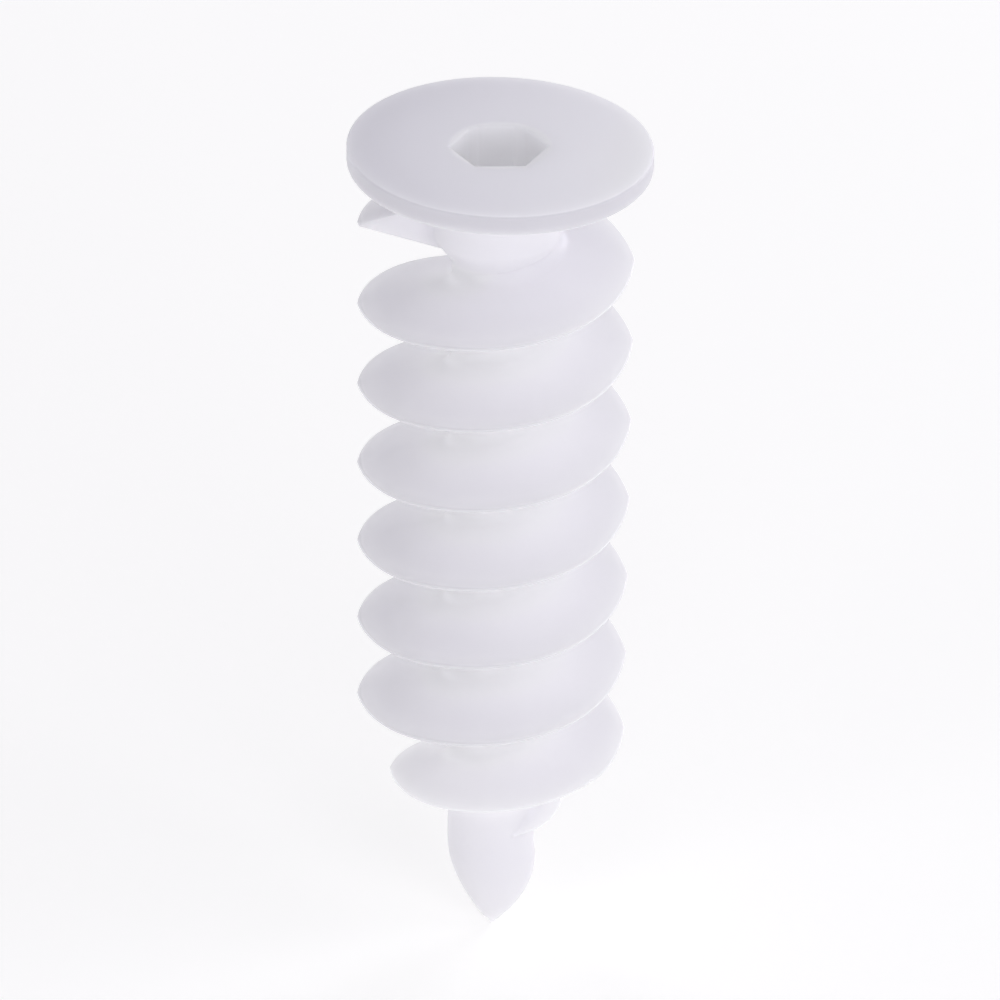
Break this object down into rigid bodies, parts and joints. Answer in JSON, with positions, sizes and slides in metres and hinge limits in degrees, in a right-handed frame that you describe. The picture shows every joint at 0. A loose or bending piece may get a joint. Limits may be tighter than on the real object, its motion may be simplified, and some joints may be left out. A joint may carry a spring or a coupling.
{
  "type": "wall anchor",
  "caption": "Spiral wall anchor for soft insulation board, a one-piece nylon moulding with a round flange, hexagonal drive socket, coarse right-hand flight and pointed tip.",
  "frame": {"origin": "on the axis, in the plane of the flange's underside, where the face of the board lies", "axes": "+Z along the axis out of the board, through the flange and the mouth of the hex socket; the point is at -Z. The flats of the hex socket face +Y and -Y, and the flight's flat cut end is on the -X side, 4 degrees past it towards -Y, and faces -Y"},
  "size_m": [0.0295, 0.0294, 0.0898],
  "materials": {
    "nylon": "natural milky nylon, satin, slightly translucent"
  },
  "bodies": {
    "root": {"flange": "nylon", "drive_neck": "nylon", "core_shank": "nylon", "spiral_flight": "nylon", "lead_in_flight": "nylon", "drill_tip": "nylon", "centre_point": "nylon"}
  },
  "joints": []
}
